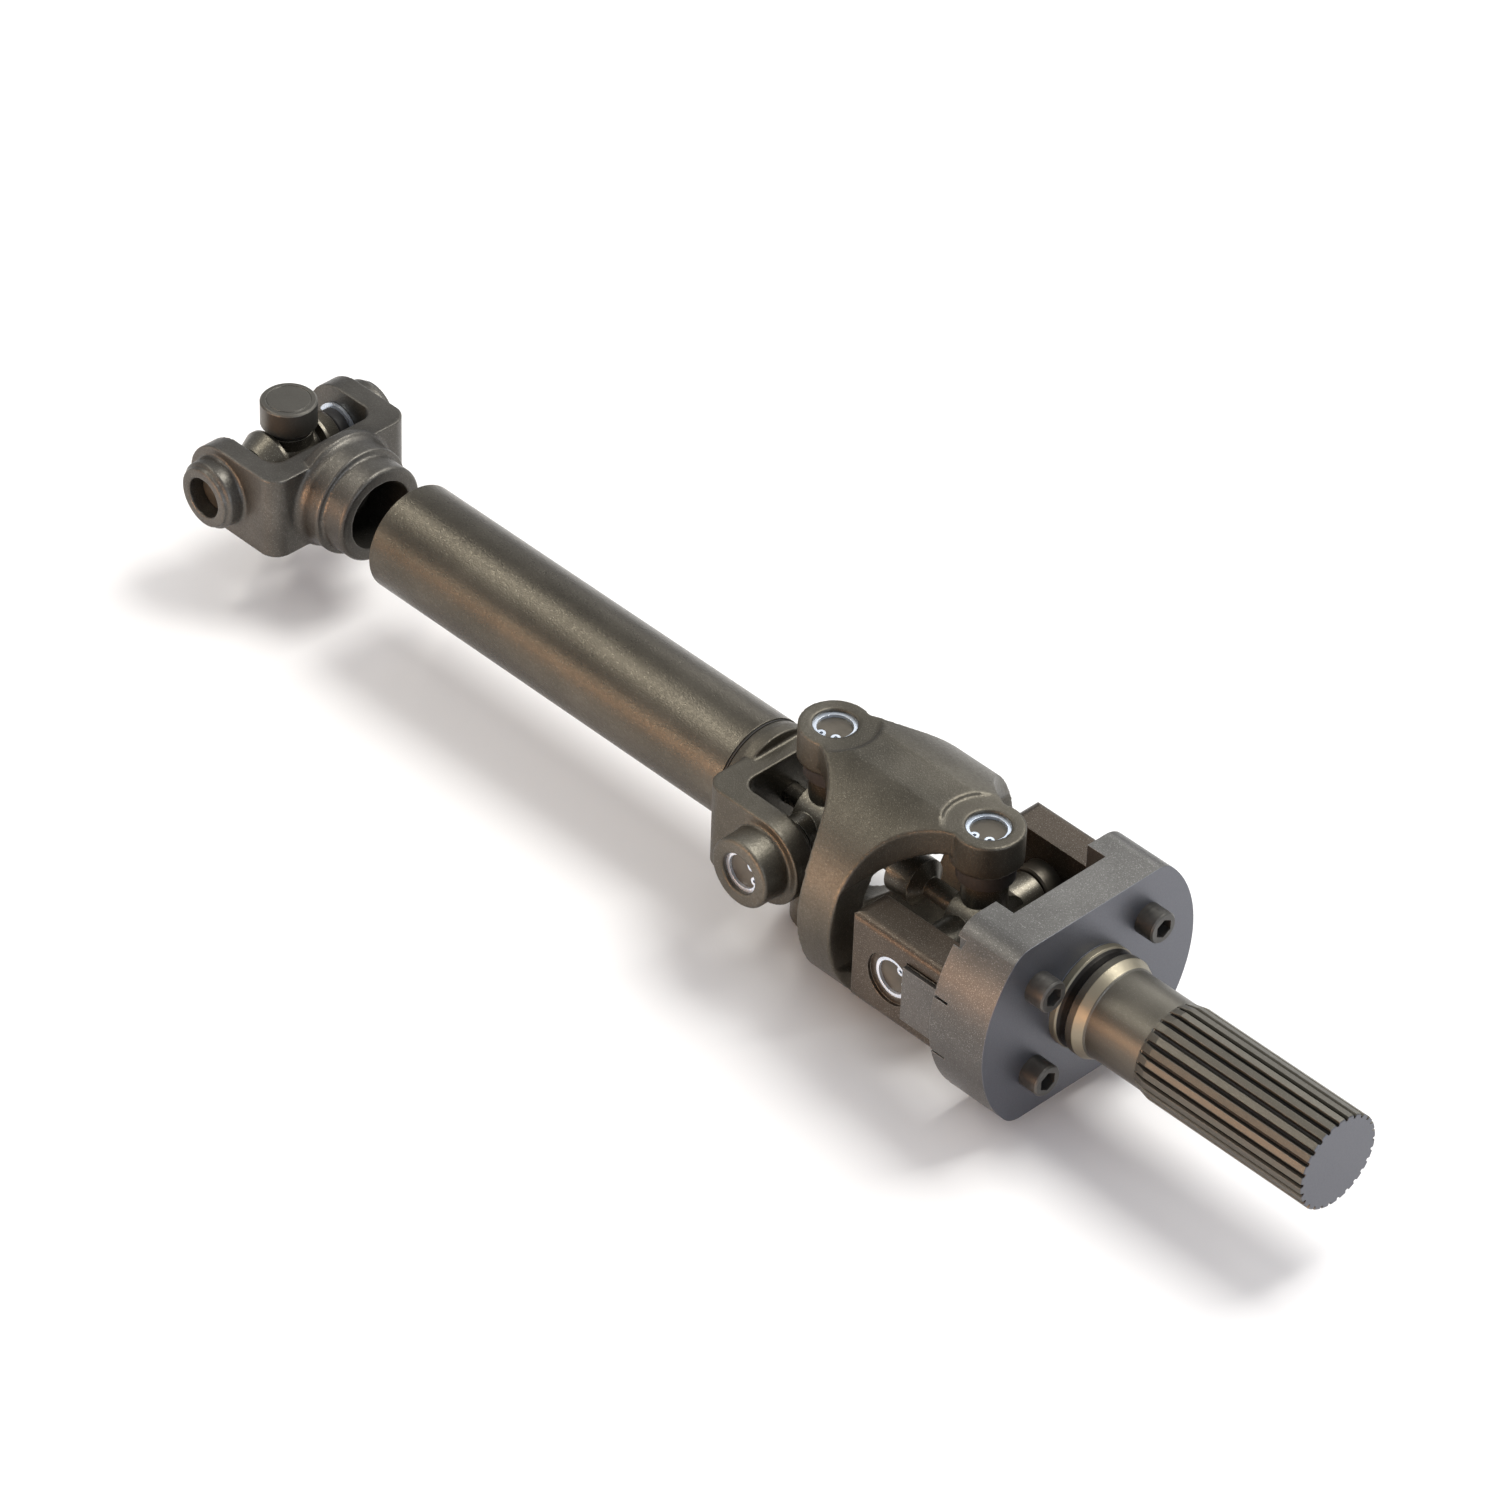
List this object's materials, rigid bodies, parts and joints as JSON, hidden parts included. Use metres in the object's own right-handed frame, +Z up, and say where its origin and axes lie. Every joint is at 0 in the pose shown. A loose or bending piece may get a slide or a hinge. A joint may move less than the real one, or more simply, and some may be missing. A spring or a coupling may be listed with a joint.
{
  "type": "universal joint shaft",
  "caption": "Jointed drive shaft: splined stub with a bolted flange, double-cardan joint, plain tube, and a single universal joint with a weld yoke and free bearing cups.",
  "frame": {"origin": "centre of the splined stub's end face, on the shaft's axis", "axes": "+X along the shaft's axis, out of the splined end; +Z up, along the coupling yoke's ear bores and the free bearing cups; +Y completes a right-handed set, along the block and fork ear bores"},
  "size_m": [0.8136, 0.154, 0.1328],
  "materials": {
    "forged_steel": "grainy satin",
    "machined_steel": "satin",
    "tube_steel": "grainy satin",
    "cup_steel": "satin",
    "free_cup_steel": "satin",
    "bright_steel": "polished",
    "black_screw": "matte black oxide",
    "weld_ring": "matte",
    "seal_rubber": "matte"
  },
  "bodies": {
    "tube_shaft": {"tube": "tube_steel", "tube_weld": "weld_ring", "tube_yoke": "forged_steel", "tube_yoke_cups": "cup_steel", "tube_yoke_rings": "bright_steel", "tube_yoke_seals": "seal_rubber", "centring_stud": "machined_steel"},
    "inner_cross": {"inner_cross": "forged_steel"},
    "coupling": {"coupling_yoke": "forged_steel", "coupling_cups": "cup_steel", "coupling_rings": "bright_steel", "coupling_seals": "seal_rubber"},
    "outer_cross": {"outer_cross": "forged_steel"},
    "stub": {"splined_flange": "machined_steel", "bearing_block_near": "forged_steel", "bearing_block_far": "forged_steel", "flange_screws": "black_screw", "block_cups": "cup_steel", "block_rings": "bright_steel", "block_seals": "seal_rubber", "centring_socket": "machined_steel"},
    "weld_yoke": {"weld_yoke": "forged_steel", "weld_yoke_cups": "cup_steel", "weld_yoke_clips": "bright_steel", "weld_yoke_seals": "seal_rubber"},
    "end_cross": {"end_cross": "forged_steel", "end_cross_fitting": "bright_steel"},
    "free_cup_top": {"free_cup_top": "free_cup_steel"},
    "free_cup_bottom": {"free_cup_bottom": "free_cup_steel"}
  },
  "joints": [
    {"name": "inner_pitch", "type": "hinge", "parent": "tube_shaft", "child": "inner_cross", "pos_m": [-0.358, 0, 0], "axis": [0, 1, 0], "range_deg": [-12, 12]},
    {"name": "inner_yaw", "type": "hinge", "parent": "inner_cross", "child": "coupling", "pos_m": [-0.358, 0, 0], "axis": [0, 0, 1], "range_deg": [-8, 8]},
    {"name": "outer_yaw", "type": "hinge", "parent": "coupling", "child": "outer_cross", "pos_m": [-0.24675, 0, 0], "axis": [0, 0, 1], "range_deg": [-8, 8]},
    {"name": "outer_pitch", "type": "hinge", "parent": "outer_cross", "child": "stub", "pos_m": [-0.24675, 0, 0], "axis": [0, 1, 0], "range_deg": [-12, 12]},
    {"name": "weld_yoke_slide", "type": "slide", "parent": "tube_shaft", "child": "weld_yoke", "axis": [1, 0, 0], "range_m": [0, 0.0405]},
    {"name": "end_cross_swing", "type": "hinge", "parent": "weld_yoke", "child": "end_cross", "pos_m": [-0.7876, 0, 0], "axis": [0, 1, 0], "range_deg": [-22, 22]},
    {"name": "free_cup_top_spin", "type": "hinge", "parent": "end_cross", "child": "free_cup_top", "pos_m": [-0.7876, 0, 0], "axis": [0, 0, 1], "continuous": true},
    {"name": "free_cup_bottom_spin", "type": "hinge", "parent": "end_cross", "child": "free_cup_bottom", "pos_m": [-0.7876, 0, 0], "axis": [0, 0, 1], "continuous": true}
  ],
  "couplings": [
    {"joint": "outer_yaw", "follows": "inner_yaw", "ratio": 1},
    {"joint": "outer_pitch", "follows": "inner_pitch", "ratio": 1}
  ]
}
